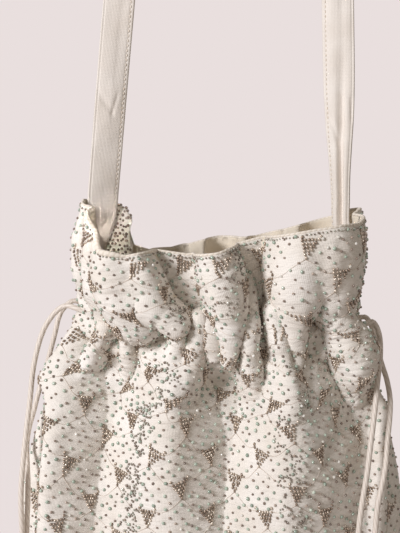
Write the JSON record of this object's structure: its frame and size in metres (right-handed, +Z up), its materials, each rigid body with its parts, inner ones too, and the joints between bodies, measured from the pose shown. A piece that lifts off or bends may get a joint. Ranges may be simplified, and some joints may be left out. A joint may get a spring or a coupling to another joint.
{
  "type": "drawstring shoulder bag",
  "caption": "Soft beaded cloth pouch with a ruffled mouth, a drawstring leaving its channel at each side, and one shoulder strap; shown hanging from the strap.",
  "frame": {"origin": "underside of the top of the strap, where a hook or a shoulder carries the bag", "axes": "+Z up, +X to the right and -Y to the front as the picture shows the bag hanging"},
  "size_m": [0.2552, 0.109, 0.6106],
  "materials": {
    "outer_cloth": "ivory crinkled cotton sewn over with small mint and brown beads",
    "lining": "plain cream cotton",
    "strap": "cream cotton folded to a flat tube, stitched along its edge",
    "drawstring": "soft ivory round cord",
    "base_board": "plain stiffening board inside the base"
  },
  "bodies": {
    "strap": {"shoulder_strap": "strap"},
    "bag": {"outer_front_panel": "outer_cloth", "outer_back_panel": "outer_cloth", "outer_base_panel": "outer_cloth", "base_board": "base_board", "lining_front_panel": "lining", "lining_back_panel": "lining", "lining_base_panel": "lining", "strap_end_left": "strap", "strap_end_right": "strap", "drawstring_left_in_channel": "drawstring", "drawstring_right_in_channel": "drawstring"},
    "left_pull": {"knot_left": "drawstring", "drawstring_left_front_end": "drawstring", "drawstring_left_rear_end": "drawstring"},
    "right_pull": {"knot_right": "drawstring", "drawstring_right_front_end": "drawstring", "drawstring_right_rear_end": "drawstring"}
  },
  "joints": [
    {"name": "strap_swing", "type": "hinge", "parent": "strap", "child": "bag", "pos_m": [0, 0, -0.28915], "axis": [1, 0, 0], "range_deg": [-80, 80]},
    {"name": "left_drawstring_pull", "type": "slide", "parent": "bag", "child": "left_pull", "axis": [0, 0, -1], "range_m": [-0.04, 0.13], "deforming": ["drawstring_left_front_end", "drawstring_left_rear_end"]},
    {"name": "right_drawstring_pull", "type": "slide", "parent": "bag", "child": "right_pull", "axis": [0, 0, -1], "range_m": [-0.04, 0.13], "deforming": ["drawstring_right_front_end", "drawstring_right_rear_end"]}
  ]
}
